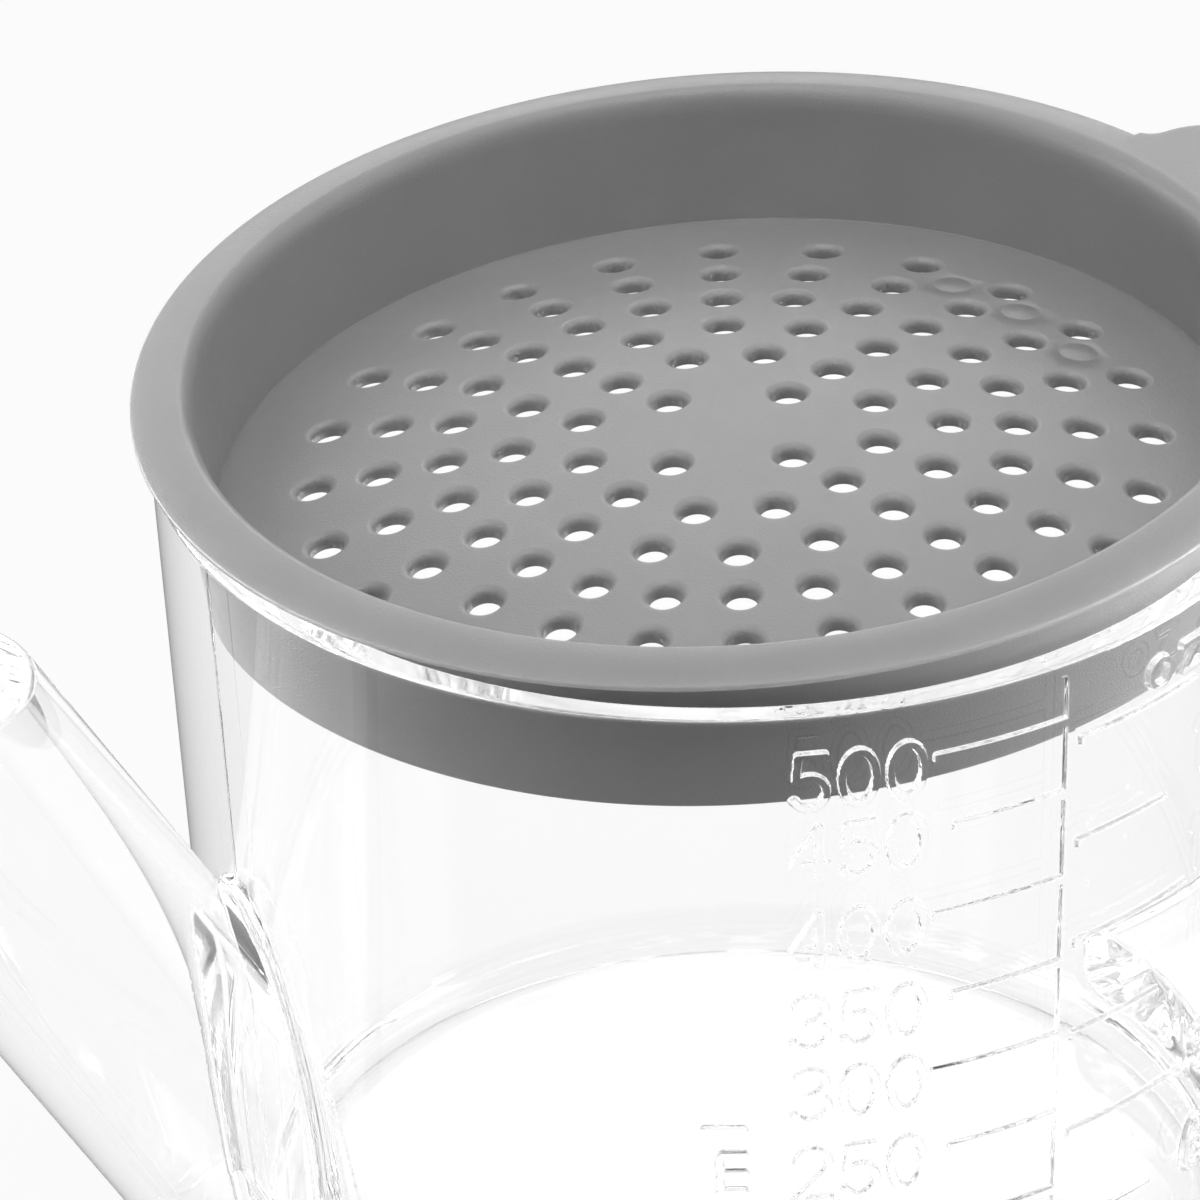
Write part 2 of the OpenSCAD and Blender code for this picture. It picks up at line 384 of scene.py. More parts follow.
class Nodes:
    """Short way to build the node tree of one material or world."""

    noise_span: Pair = (0.3, 0.7)

    def __init__(self, owner: Union[bpy.types.Material, bpy.types.World]) -> None:
        """Empties the node tree of a material or a world.

        Args:
            owner: The material or world.
        """
        owner.use_nodes = True
        self.tree = owner.node_tree
        self.tree.nodes.clear()

    def add(
        self,
        kind: str,
        sockets: Optional[Dict[Union[str, int], object]] = None,
        **values: object,
    ) -> bpy.types.Node:
        """Adds a node.

        Args:
            kind: Blender's name for this kind of node.
            sockets: Fixed values of input sockets, by name or number.
            values: Properties of the node.

        Returns:
            The new node.
        """
        node = self.tree.nodes.new(kind)
        for name, value in values.items():
            setattr(node, name, value)
        for key, value in (sockets or {}).items():
            node.inputs[key].default_value = value
        return node

    def link(self, source: Socket, target: Socket) -> None:
        """Joins two sockets."""
        self.tree.links.new(source, target)

    def calc(self, operation: str, first: Socket, second: Union[Socket, float]) -> Socket:
        """Works out one value from two.

        Args:
            operation: Blender's name for the operation.
            first: The first value's socket.
            second: The second value's socket, or a number.

        Returns:
            The result's socket.
        """
        node = self.add("ShaderNodeMath", operation=operation)
        self.link(first, node.inputs[0])
        if isinstance(second, float):
            node.inputs[1].default_value = second
        else:
            self.link(second, node.inputs[1])
        return node.outputs[0]

    def mapped(self, value: Socket, span: Pair, target: Pair, smooth: bool = False) -> Socket:
        """Maps a value from one range to another and holds it at the ends.

        Args:
            value: The value's socket.
            span: Range of the value.
            target: Range of the result.
            smooth: Whether the result eases in and out.

        Returns:
            The result's socket.
        """
        kind = "SMOOTHSTEP" if smooth else "LINEAR"
        node = self.add("ShaderNodeMapRange", interpolation_type=kind)
        for name, end in zip(("From Min", "From Max", "To Min", "To Max"), (*span, *target)):
            node.inputs[name].default_value = end
        self.link(value, node.inputs["Value"])
        return node.outputs["Result"]

    def noise(self, mottle: Mottle) -> Socket:
        """Noise in the model's own coordinates.

        Args:
            mottle: Fineness and range of the noise.

        Returns:
            The value's socket.
        """
        where = self.add("ShaderNodeTexCoord")
        grain = self.add("ShaderNodeTexNoise", {"Scale": mottle.scale, "Detail": mottle.detail})
        self.link(where.outputs["Object"], grain.inputs["Vector"])
        return self.mapped(grain.outputs["Fac"], self.noise_span, (mottle.low, mottle.high))

    def tint(self, share: Socket, low: Sequence[float], high: Sequence[float]) -> Socket:
        """Mixes two colours.

        Args:
            share: Socket with the share of the second colour.
            low: The first colour.
            high: The second colour.

        Returns:
            The mixed colour's socket.
        """
        mix = self.add("ShaderNodeMix", {"A": (*low, 1.0), "B": (*high, 1.0)}, data_type="RGBA")
        self.link(share, mix.inputs["Factor"])
        return mix.outputs["Result"]

    def blend(self, share: Socket, low: Socket, high: Socket) -> Socket:
        """Mixes two shaders.

        Args:
            share: Socket with the share of the second shader.
            low: The first shader's socket.
            high: The second shader's socket.

        Returns:
            The mixed shader's socket.
        """
        mix = self.add("ShaderNodeMixShader")
        for source, target in zip((share, low, high), mix.inputs):
            self.link(source, target)
        return mix.outputs[0]

    def bump(self, height: Socket, depth: float) -> Socket:
        """Turns a height into tilted normals.

        Args:
            height: Socket with a height between nought and one.
            depth: Real depth of the whole range, in metres.

        Returns:
            The normal's socket.
        """
        node = self.add("ShaderNodeBump", {"Strength": 1.0, "Distance": depth})
        self.link(height, node.inputs["Height"])
        return node.outputs["Normal"]

    def show(self, shader: Socket) -> None:
        """Sends a shader to the surface."""
        out = self.add("ShaderNodeOutputMaterial")
        self.link(shader, out.inputs["Surface"])


@dataclass(frozen=True)
class ClearPlastic:
    """Clear moulded plastic that lets lamps through to what stands behind it."""

    bend: float = 1.5
    low_tint: Tuple[float, float, float] = (0.986, 0.986, 0.986)
    high_tint: Tuple[float, float, float] = (0.998, 0.998, 0.998)
    cloud: Mottle = Mottle(25.0, 2.0)
    haze: Mottle = Mottle(40.0, 2.0, 0.0, 0.03)
    lamp_share: float = 0.9

    def material(self, name: str) -> bpy.types.Material:
        """Builds the material.

        Args:
            name: Name of the material.

        Returns:
            The new material.
        """
        made = bpy.data.materials.new(name)
        nodes = Nodes(made)
        body = nodes.add("ShaderNodeBsdfPrincipled", {"IOR": self.bend, "Transmission Weight": 1.0})
        nodes.link(nodes.noise(self.haze), body.inputs["Roughness"])
        tint = nodes.tint(nodes.noise(self.cloud), self.low_tint, self.high_tint)
        nodes.link(tint, body.inputs["Base Color"])
        through = nodes.add("ShaderNodeBsdfTransparent")
        path = nodes.add("ShaderNodeLightPath")
        share = nodes.calc("MULTIPLY", path.outputs["Is Shadow Ray"], self.lamp_share)
        nodes.show(nodes.blend(share, body.outputs[0], through.outputs[0]))
        return made


@dataclass(frozen=True)
class GreyPlastic:
    """Satin grey moulded plastic, a little translucent, with a fine spark-eroded grain."""

    bend: float = 1.5
    low_tone: float = 0.37
    high_tone: float = 0.39
    fleck: Mottle = Mottle(120.0, 3.0)
    sheen: Mottle = Mottle(900.0, 2.0, 0.34, 0.42)
    pores: Mottle = Mottle(5600.0, 2.0)
    pore_depth: float = 0.00002
    soft_share: float = 0.8
    soft_reach: float = 0.0015

    def material(self, name: str) -> bpy.types.Material:
        """Builds the material.

        Args:
            name: Name of the material.

        Returns:
            The new material.
        """
        made = bpy.data.materials.new(name)
        nodes = Nodes(made)
        body = nodes.add(
            "ShaderNodeBsdfPrincipled",
            {
                "IOR": self.bend,
                "Subsurface Weight": self.soft_share,
                "Subsurface Radius": (1.0, 1.0, 1.0),
                "Subsurface Scale": self.soft_reach,
            },
        )
        tones = [(tone,) * 3 for tone in (self.low_tone, self.high_tone)]
        nodes.link(nodes.tint(nodes.noise(self.fleck), *tones), body.inputs["Base Color"])
        nodes.link(nodes.noise(self.sheen), body.inputs["Roughness"])
        nodes.link(nodes.bump(nodes.noise(self.pores), self.pore_depth), body.inputs["Normal"])
        nodes.show(body.outputs[0])
        return made


# The raised scales


def arc(x: float, y: float, wide: float, high: float, start: float, end: float) -> List[Pair]:
    """Points along part of an ellipse.

    Args:
        x: Middle of the ellipse across.
        y: Middle of the ellipse upwards.
        wide: Half width of the ellipse.
        high: Half height of the ellipse.
        start: First direction in degrees, counted from the right, rising to the left.
        end: Last direction in degrees.

    Returns:
        Points about every 15 degrees.
    """
    parts = max(2, round(abs(end - start) / ARC_STEP))
    turns = np.radians(np.linspace(start, end, parts + 1))
    return [(x + wide * math.cos(t), y + high * math.sin(t)) for t in turns]


class Glyph(Enum):
    """Middle lines of the plain characters, in a box that reaches 1 to each side."""

    ZERO = ("0", [arc(0, 0, 1, 1, 0, 360)])
    ONE = ("1", [[(-0.5, 0.6), (0.1, 1), (0.1, -1)]])
    TWO = ("2", [arc(0, 0.42, 0.95, 0.58, 165, -28) + [(-1, -1), (1, -1)]])
    THREE = ("3", [arc(-0.1, 0.515, 0.9, 0.485, 155, -90), arc(-0.1, -0.485, 1.05, 0.515, 90, -155)])
    FOUR = ("4", [[(0.5, -1), (0.5, 1), (-1, -0.42), (1, -0.42)]])
    FIVE = ("5", [[(0.85, 1), (-0.65, 1), (-0.8, 0.1)] + arc(-0.05, -0.4, 1.0, 0.6, 128, -150)])
    SIX = ("6", [arc(0, -0.42, 1, 0.58, 0, 360), arc(0.15, -0.3, 1.15, 1.3, 62, 180)])
    EIGHT = ("8", [arc(0, 0.5, 0.82, 0.5, 0, 360), arc(0, -0.47, 1, 0.53, 0, 360)])
    SMALL_M = (
        "m",
        [
            [(-1, -1), (-1, 0.3)],
            arc(-0.5, 0, 0.5, 0.3, 180, 0) + [(0, -1)],
            arc(0.5, 0, 0.5, 0.3, 180, 0) + [(1, -1)],
        ],
    )
    SMALL_L = ("l", [[(0, -1), (0, 1)]])
    SMALL_O = ("o", [arc(0, -0.35, 0.95, 0.65, 0, 360)])
    SMALL_Z = ("z", [[(-0.9, 0.3), (0.9, 0.3), (-0.9, -1), (0.9, -1)]])

    @classmethod
    def lines(cls, letter: str) -> List[List[Pair]]:
        """Middle lines of one character."""
        return next(glyph.value[1] for glyph in cls if glyph.value[0] == letter)


@dataclass(frozen=True)
class Word:
    """One word or number on the wall: its text, the middle of its first letter and its size."""

    text: str
    turn: float
    z: float
    half_w: float = 1.4
    half_h: float = 2.5
    pitch: float = 3.95
    upright: bool = True

    def strokes(self, radius: float) -> List[np.ndarray]:
        """Middle lines as rows of a direction in degrees and a height.

        Args:
            radius: Radius of the wall at the word.

        Returns:
            One array for each line of each letter.
        """
        made = []
        for place, letter in enumerate(self.text):
            for line in Glyph.lines(letter):
                flat = np.array(line, float) * (self.half_w, self.half_h)
                flat[:, 0] += place * self.pitch
                if not self.upright:
                    flat = np.c_[-flat[:, 1], flat[:, 0]]
                made.append(np.c_[self.turn + np.degrees(flat[:, 0] / radius), self.z + flat[:, 1]])
        return made


@dataclass
class Scales:
    """Raised marks, numbers and units on the outside of the jug's wall."""

    height: float
    radius: Callable[[float], float]
    rule_turn: float = -85.0
    rule_gap: float = 0.6
    mark_w: float = 0.9
    mark_h: float = 0.4
    mark_corner: float = 0.2
    letter_w: float = 0.7
    letter_h: float = 0.5
    slope: float = 0.22
    ml_depths: Tuple[float, ...] = (5.4, 12.4, 20.8, 29.1, 36.4, 44.4, 52.2, 60.2, 68.3)
    oz_depths: Tuple[float, ...] = (7.8, 17.8, 27.8, 37.0, 47.0, 56.8, 66.6)
    ml_angles: Pair = (14.0, 12.0)
    oz_angles: Pair = (16.0, 12.0)
    ml_top: int = 500
    ml_step: int = 50
    oz_top: int = 16
    oz_step: int = 2
    rule_top: float = 1.0
    ml_number: Pair = (-111.5, -0.6)
    oz_number: Pair = (-62.8, 0.9)
    oz_digit_turn: float = -64.4
    ml_word: Pair = (-120.2, 44.4)
    ml_letters: Tuple[float, float, float] = (1.9, 1.6, 4.4)
    oz_word: Pair = (-73.8, 4.1)
    oz_letters: Tuple[float, float, float] = (1.25, 1.9, 3.9)

    def bars(self) -> List[Tuple[float, float, float, float]]:
        """The marks and the rule between the two scales.

        Returns:
            For each its first and last direction, and its low and high edge.
        """
        half = self.mark_w / 2
        turn_half = math.degrees(half / self.radius(self.height))
        left, right = self.rule_turn - turn_half, self.rule_turn + turn_half
        low = self.height - self.ml_depths[-1] - half
        made = [(left, right, low, self.height - self.rule_top)]
        for row, depth in enumerate(self.ml_depths):
            z = self.height - depth
            made.append((left - self.ml_angles[row % 2], left + turn_half, z - half, z + half))
        for row, depth in enumerate(self.oz_depths):
            z = self.height - depth
            start = right + self.rule_gap
            made.append((start, start + self.oz_angles[row % 2], z - half, z + half))
        return made

    def words(self) -> List[Word]:
        """Numbers beside the marks, and the names of the two units.

        Returns:
            All the words.
        """
        made = []
        turn, rise = self.ml_number
        for row, depth in enumerate(self.ml_depths):
            text = str(self.ml_top - row * self.ml_step)
            made.append(Word(text, turn, self.height - depth + rise))
        turn, rise = self.oz_number
        for row, depth in enumerate(self.oz_depths):
            text = str(self.oz_top - row * self.oz_step)
            first = self.oz_digit_turn if len(text) == 1 else turn
            made.append(Word(text, first, self.height - depth + rise))
        turn, depth = self.ml_word
        made.append(Word("ml", turn, self.height - depth, *self.ml_letters, upright=False))
        turn, depth = self.oz_word
        made.append(Word("oz", turn, self.height - depth, *self.oz_letters))
        return made

    def heights(self, turn: np.ndarray, z: np.ndarray) -> np.ndarray:
        """Height of the relief above the wall.

        Args:
            turn: Directions in degrees.
            z: Heights.

        Returns:
            The relief at each point.
        """
        marks = np.full(turn.shape, FAR)
        reach = self.mark_w + self.slope
        for first, last, low, high in self.bars():
            scale = math.radians(1) * self.radius((low + high) / 2)
            near = np.flatnonzero(
                (turn > first - reach / scale)
                & (turn < last + reach / scale)
                & (z > low - reach)
                & (z < high + reach)
            )
            across = np.abs(turn[near] - (first + last) / 2) * scale - (last - first) / 2 * scale
            along = np.abs(z[near] - (low + high) / 2) - (high - low) / 2
            box = round_max(across, along, self.mark_corner)
            marks[near] = np.minimum(marks[near], box)
        letters = np.full(turn.shape, FAR)
        reach = self.letter_w + self.slope
        for word in self.words():
            radius = self.radius(word.z)
            scale = math.radians(1) * radius
            for line in word.strokes(radius):
                flat = line * (scale, 1.0)
                x, y = turn * scale, z
                near = np.flatnonzero(
                    (x > flat[:, 0].min() - reach)
                    & (x < flat[:, 0].max() + reach)
                    & (y > flat[:, 1].min() - reach)
                    & (y < flat[:, 1].max() + reach)
                )
                spots = np.c_[x[near], y[near]]
                for start, end in zip(flat[:-1], flat[1:]):
                    way = end - start
                    share = np.clip((spots - start) @ way / max(way @ way, TINY), 0.0, 1.0)
                    away = np.linalg.norm(spots - start - share[:, None] * way, axis=1)
                    letters[near] = np.minimum(letters[near], away - self.letter_w / 2)
        raised = np.zeros(turn.shape)
        for edge, top in ((marks, self.mark_h), (letters, self.letter_h)):
            rise = np.clip(0.5 - edge / self.slope, 0.0, 1.0)
            raised = np.maximum(raised, top * rise * rise * (3 - 2 * rise))
        return raised


@dataclass
class RaisedWall:
    """Part of the jug's wall whose mesh is refined under the raised scales."""

    scales: Scales
    draft: float
    parts: int = 8

    def point_rows(self, turn: np.ndarray, z: np.ndarray) -> Tuple[np.ndarray, np.ndarray]:
        """Points and outward directions of the wall with its relief.

        Args:
            turn: Directions in degrees.
            z: Heights.

        Returns:
            Rows of points and rows of directions.
        """
        tan = math.tan(math.radians(self.draft))
        base = self.scales.radius(0.0) + z * tan
        r = base + self.scales.heights(turn, z)
        small = 0.02
        turn_step = math.degrees(small / self.scales.radius(0.0))
        right = self.scales.heights(turn + turn_step, z)
        left = self.scales.heights(turn - turn_step, z)
        above = self.scales.heights(turn, z + small)
        below = self.scales.heights(turn, z - small)
        slope_t = (right - left) / (2 * small)
        slope_z = tan + (above - below) / (2 * small)
        t = np.radians(turn)
        points = np.c_[r * np.cos(t), r * np.sin(t), z]
        flat = np.stack([np.cos(t) + slope_t * np.sin(t), np.sin(t) - slope_t * np.cos(t), -slope_z], 1)
        return points, unit(flat)

    def _finer(self, lines: np.ndarray) -> np.ndarray:
        """Grid lines with each gap divided into equal parts.

        Args:
            lines: Places of the grid lines.

        Returns:
            Places of the finer lines.
        """
        wanted = np.arange((len(lines) - 1) * self.parts + 1) / self.parts
        return np.interp(wanted, np.arange(len(lines)), lines)

    def _touched(self, raised: np.ndarray) -> np.ndarray:
        """Coarse cells that the relief reaches, apart from the outermost ones.

        Args:
            raised: Whether there is relief, at each node of the fine grid.

        Returns:
            Whether each coarse cell is touched.
        """
        parts = self.parts
        high, wide = raised.shape[0] - 1, raised.shape[1] - 1
        touched = np.zeros((high // parts, wide // parts), bool)
        for a in range(parts + 1):
            for b in range(parts + 1):
                touched |= raised[a : a + high : parts, b : b + wide : parts]
        touched[[0, -1]] = False
        touched[:, [0, -1]] = False
        return touched

    def _patches(self, number: np.ndarray, touched: np.ndarray) -> List[Tuple[int, ...]]:
        """Fine quads in the touched cells, and one face in each other cell.

        Args:
            number: Point number at each node of the fine grid, or -1.
            touched: Whether each coarse cell is touched.

        Returns:
            The faces. The face of a whole cell takes up the fine points on its edges.
        """
        parts = self.parts
        faces: List[Tuple[int, ...]] = []
        for j, k in np.ndindex(*touched.shape):
            a, b = j * parts, k * parts
            block = number[a : a + parts + 1, b : b + parts + 1]
            if touched[j, k]:
                quads = np.stack([block[:-1, :-1], block[1:, :-1], block[1:, 1:], block[:-1, 1:]], -1)
                faces.extend(map(tuple, quads.reshape(-1, 4).tolist()))
                continue
            ring = [*block[:, 0], *block[-1, 1:], *block[-2::-1, -1], *block[0, -2:0:-1]]
            faces.append(tuple(int(i) for i in ring if i >= 0))
        return faces

    def refine(self, skin: Skin, wall: np.ndarray, turns: np.ndarray, heights: np.ndarray) -> Skin:
        """Replaces the wall's coarse quads by fine ones where the relief is.

        Args:
            skin: The jug's skin.
            wall: Numbers of the wall's points, by direction and height.
            turns: Direction of each column of points, in degrees.
            heights: Height of each row of points.

        Returns:
            The skin with the relief.
        """
        parts = self.parts
        grid_t, grid_z = np.meshgrid(self._finer(turns), self._finer(heights), indexing="ij")
        relief = self.scales.heights(grid_t.ravel(), grid_z.ravel()).reshape(grid_t.shape)
        touched = self._touched(relief > 0)
        used = np.zeros(grid_t.shape, bool)
        for j, k in np.argwhere(touched):
            used[j * parts : (j + 1) * parts + 1, k * parts : (k + 1) * parts + 1] = True
        number = np.full(grid_t.shape, -1, np.int64)
        number[used] = len(skin.points) + np.arange(used.sum())
        fine_points, fine_normals = self.point_rows(grid_t[used], grid_z[used])
        points = np.vstack([skin.points, fine_points])
        normals = np.vstack([skin.normals, fine_normals])
        coarse = number[::parts, ::parts]
        twin = coarse[coarse >= 0]
        points[wall[coarse >= 0]] = points[twin]
        normals[wall[coarse >= 0]] = normals[twin]
        number[::parts, ::parts] = wall
        members = set(wall.ravel().tolist())
        faces = [face for face in skin.faces if not all(i in members for i in face)]
        faces += self._patches(number, touched)
        keep = np.ones(len(points), bool)
        keep[twin] = False
        index = np.cumsum(keep) - 1
        faces = [tuple(int(index[i]) for i in face) for face in faces]
        return Skin(points[keep], normals[keep], faces)


# The jug


@dataclass
class Jug:
    """The clear jug: wall, floor, spout and handle as one moulding."""

    # Cup
    height: float = 84.0
    rim_r: float = 48.75
    wall: float = 2.5
    draft: float = 2.0
    floor: float = 3.2
    heel_r: float = 2.2
    inner_fillet: float = 4.0
    rim_edge: float = 0.5

    # Spout, and the passage through the wall into it
    mouth_x: float = -78.45
    mouth_z: float = 81.3
    root_z: float = 25.0
    spout_len: float = 93.34
    mouth_r: float = 11.4
    root_r: float = 11.9
    spout_wall: float = 2.3
    spout_fillet: float = 1.6
    lip_edge: float = 0.45
    passage: Pair = (7.2, 17.46)
    passage_edge: float = 0.4

    # Handle
    strap_half: float = 12.25
    strap_t: float = 7.0
    strap_edge: float = 2.5
    grip_x: float = 79.25
    arm_z: Pair = (8.2, 78.0)
    bend: float = 14.0
    strap_fillet: float = 1.0

    # Parting line of the mould
    seam_half: float = 0.22
    seam_h: float = 0.045

    # Mesh
    scale_turns: Pair = (-126.0, -54.0)
    scale_z: Pair = (11.0, 83.35)
    branch_turn: float = 18.0
    radial_lines: Tuple[Tuple[float, ...], ...] = (
        (2, 5, 37, 2, 41, 0.5, 45.5, 0.3, 46.1, 0.15, 46.85),
        (47.2, 0.3, 47.8),
        (48.15, 0.17, 48.83, 0.3, 49.7, 0.6, 66, 0.5, 92),
    )
    turn_lines: Tuple[float, ...] = (
        0, 0.6, 17, 1.0, 163, 0.45, 179.4, 0.1, 180.6, 0.45, 197, 1.0, 343, 0.6, 360,
    )
    height_lines: Tuple[Tuple[float, ...], ...] = (
        (-0.12,),
        (0.12, 0.35, 3.1),
        (3.3, 0.45, 8, 0.75, 73.5, 0.5, 80.6, 0.14, 81.65, 0.4, 83.3, 0.15, 83.9),
        (84.07,),
    )

    finish: ClearPlastic = field(default_factory=ClearPlastic)

    def outer_r(self, z: np.ndarray) -> np.ndarray:
        """Outer radius of the wall at a height."""
        return self.rim_r - (self.height - z) * math.tan(math.radians(self.draft))

    def from_wall(self, r: np.ndarray, z: np.ndarray) -> np.ndarray:
        """Signed distance to the outer face of the wall."""
        return (r - self.outer_r(z)) * math.cos(math.radians(self.draft))

    def cup(self, r: np.ndarray, z: np.ndarray) -> np.ndarray:
        """Signed distance to the wall and floor.

        Args:
            r: Distances from the Z axis.
            z: Heights.

        Returns:
            Distance to the cup without spout and handle, negative inside.
        """
        outer = self.from_wall(r, z)
        inner = outer + self.wall * math.cos(math.radians(self.draft))
        body = round_max(round_max(outer, -z, self.heel_r), z - self.height, self.rim_edge)
        hollow = round_max(inner, self.floor - z, self.inner_fillet)
        return round_max(body, -hollow, self.rim_edge)

    def along_spout(self, x: np.ndarray, y: np.ndarray, z: np.ndarray) -> Tuple[np.ndarray, np.ndarray]:
        """Places of points in the spout's own terms.

        Args:
            x: Places towards the handle.
            y: Places across.
            z: Heights.

        Returns:
            Distances along the axis from the spout's mouth, and distances from the axis.
        """
        rise = self.mouth_z - self.root_z
        run = -self.mouth_x - float(self.outer_r(np.array(self.root_z)))
        slope = math.atan2(rise, run)
        ux, uz = -math.cos(slope), math.sin(slope)
        dx, dz = x - self.mouth_x, z - self.mouth_z
        along = dx * ux + dz * uz
        return along, np.sqrt((dx - along * ux) ** 2 + y**2 + (dz - along * uz) ** 2)

    def bore(self, x: np.ndarray, y: np.ndarray, z: np.ndarray) -> np.ndarray:
        """Signed distance to the space inside the spout.

        Args:
            x: Places towards the handle.
            y: Places across.
            z: Heights.

        Returns:
            Distance to the bore, negative inside.
        """
        along, away = self.along_spout(x, y, z)
        flare = (self.root_r - self.mouth_r) / self.spout_len
        return away - (self.mouth_r - self.spout_wall) + along * flare

    def spout(self, x: np.ndarray, y: np.ndarray, z: np.ndarray) -> np.ndarray:
        """Signed distance to the spout's tube.

        Args:
            x: Places towards the handle.
            y: Places across.
            z: Heights.

        Returns:
            Distance to the tube, negative inside.
        """
        bore = self.bore(x, y, z)
        tube = round_max(bore - self.spout_wall, z - self.mouth_z, self.lip_edge)
        return round_max(tube, -bore, self.lip_edge)

    def handle(self, x: np.ndarray, y: np.ndarray, z: np.ndarray) -> np.ndarray:
        """Signed distance to the handle's strap.

        Args:
            x: Places towards the handle.
            y: Places across.
            z: Heights.

        Returns:
            Distance to the strap, negative inside.
        """
        low, high = self.arm_z
        from_middle = np.abs(z - (low + high) / 2) - (high - low) / 2
        path = round_max(x - self.grip_x, from_middle, self.bend)
        return round_max(np.abs(path) - self.strap_t / 2, np.abs(y) - self.strap_half, self.strap_edge)

    def seam(self, x: np.ndarray, y: np.ndarray, beyond: np.ndarray) -> np.ndarray:
        """Height of the mould's parting line, which runs up the wall over the spout.

        Args:
            x: Places towards the handle.
            y: Places across.
            beyond: Signed distance to the space outside the wall's middle.

        Returns:
            Height of the line above the wall at each point.
        """
        ridge = self.seam_h * np.clip(1.0 - (y / self.seam_half) ** 2, 0.0, 1.0)
        return np.where((x < 0) & (beyond < 0), ridge, 0.0)

    def distance(self, x: np.ndarray, y: np.ndarray, z: np.ndarray) -> np.ndarray:
        """Signed distance to the whole jug.

        Args:
            x: Places towards the handle.
            y: Places across.
            z: Heights.

        Returns:
            Distance to the jug, negative inside.
        """
        r = np.hypot(x, y)
        beyond = -(self.from_wall(r, z) + self.wall / 2)
        cup = self.cup(r, z) - self.seam(x, y, beyond)
        tube = np.where(x < 0, np.maximum(self.spout(x, y, z), beyond), FAR)
        strap = np.where(x > 0, np.maximum(self.handle(x, y, z), beyond), FAR)
        whole = round_min(cup, tube, self.spout_fillet)
        whole = round_min(whole, strap, self.strap_fillet)
        low, high = self.passage
        way = np.maximum(np.maximum(self.bore(x, y, z), low - z), z - high)
        cut = round_max(whole, -way, self.passage_edge)
        return np.maximum(np.where(x < 0, cut, whole), -z)

    def grid(self) -> RoundGrid:
        """Grid lines that follow the wall and are close where the form turns.

        Returns:
            The grid.
        """
        tan = math.tan(math.radians(self.draft))
        mouth = self.rim_r - self.wall

        def place(r: np.ndarray, z: np.ndarray) -> np.ndarray:
            """Real radius of a grid radius at a height."""
            return r - (self.height - z) * tan * np.minimum(r / mouth, 1.0)

        turns = np.radians(steps(*self.turn_lines)[:-1])
        return RoundGrid(stretches(self.radial_lines), turns, stretches(self.height_lines), place)

    def skin(self) -> Skin:
        """Meshes the whole jug as one closed skin.

        Returns:
            The skin.
        """
        grid = self.grid()
        r = grid.place(grid.radii[:, None], grid.heights[None, :])
        cup = self.cup(r, np.broadcast_to(grid.heights, r.shape))
        values = np.repeat(cup[:, None, :], len(grid.angles), axis=1)
        turn = np.degrees(grid.angles)
        side = self.branch_turn
        near = (turn < side) | (turn > 360 - side) | (np.abs(turn - 180) < side)
        columns = np.flatnonzero(near)
        values[:, columns] = self.distance(*grid.nodes(columns))
        skin, number = grid.skin(values, self.distance)
        closed = self._closed_floor(skin, number[0])
        return self._raised(closed, grid, number)

    def _raised(self, skin: Skin, grid: RoundGrid, number: np.ndarray) -> Skin:
        """Raises the scales on the wall between the spout and the handle.

        Args:
            skin: The jug's skin.
            grid: The grid that the skin was made on.
            number: Number of each grid cell's point, or -1.

        Returns:
            The skin with the relief.
        """
        scales = Scales(self.height, lambda z: float(self.outer_r(z)))
        wall = RaisedWall(scales, self.draft)
        turn = np.degrees(grid.angles) - 360.0
        middle_t = (turn + np.append(turn[1:], 0.0)) / 2
        middle_z = (grid.heights[:-1] + grid.heights[1:]) / 2
        columns = np.flatnonzero((middle_t > self.scale_turns[0]) & (middle_t < self.scale_turns[1]))
        rows = np.flatnonzero((middle_z > self.scale_z[0]) & (middle_z < self.scale_z[1]))
        block = number[:, columns][:, :, rows]
        outer = len(block) - 1 - np.argmax(block[::-1] >= 0, axis=0)
        points = np.take_along_axis(block, outer[None], 0)[0]
        return wall.refine(skin, points, middle_t[columns], middle_z[rows])

    def _closed_floor(self, skin: Skin, first: np.ndarray) -> Skin:
        """Fills the small round gap left in the middle of the floor, on both faces.

        Args:
            skin: The jug's skin.
            first: Numbers of the points in the innermost cells, by direction and height.

        Returns:
            The closed skin.
        """
        loops = [[row[row >= 0][at] for row in first] for at in (0, -1)]
        tops = np.array([[0.0, 0.0, 0.0], [0.0, 0.0, self.floor]])
        faces = list(skin.faces)
        for loop, centre, up in zip(loops, range(2), (False, True)):
            hub = len(skin.points) + centre
            for a, b in zip(loop, loop[1:] + loop[:1]):
                faces.append((hub, int(a), int(b)) if up else (hub, int(b), int(a)))
        normals = np.array([[0.0, 0.0, -1.0], [0.0, 0.0, 1.0]])
        return Skin(np.vstack([skin.points, tops]), np.vstack([skin.normals, normals]), faces)

    def build(self) -> bpy.types.Object:
        """Makes the jug, dressed and riding on its body.

        Returns:
            The jug's object.
        """
        made = self.skin().as_object("clear_jug")
        made.data.materials.append(self.finish.material("clear_jug_plastic"))
        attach(made, Body.JUG.value)
        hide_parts("cup_wall", "cup_floor", "spout", "handle_top", "handle_grip", "handle_foot")
        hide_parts("scale_rule", "ml_marks", "oz_marks")
        return made


# The strainer


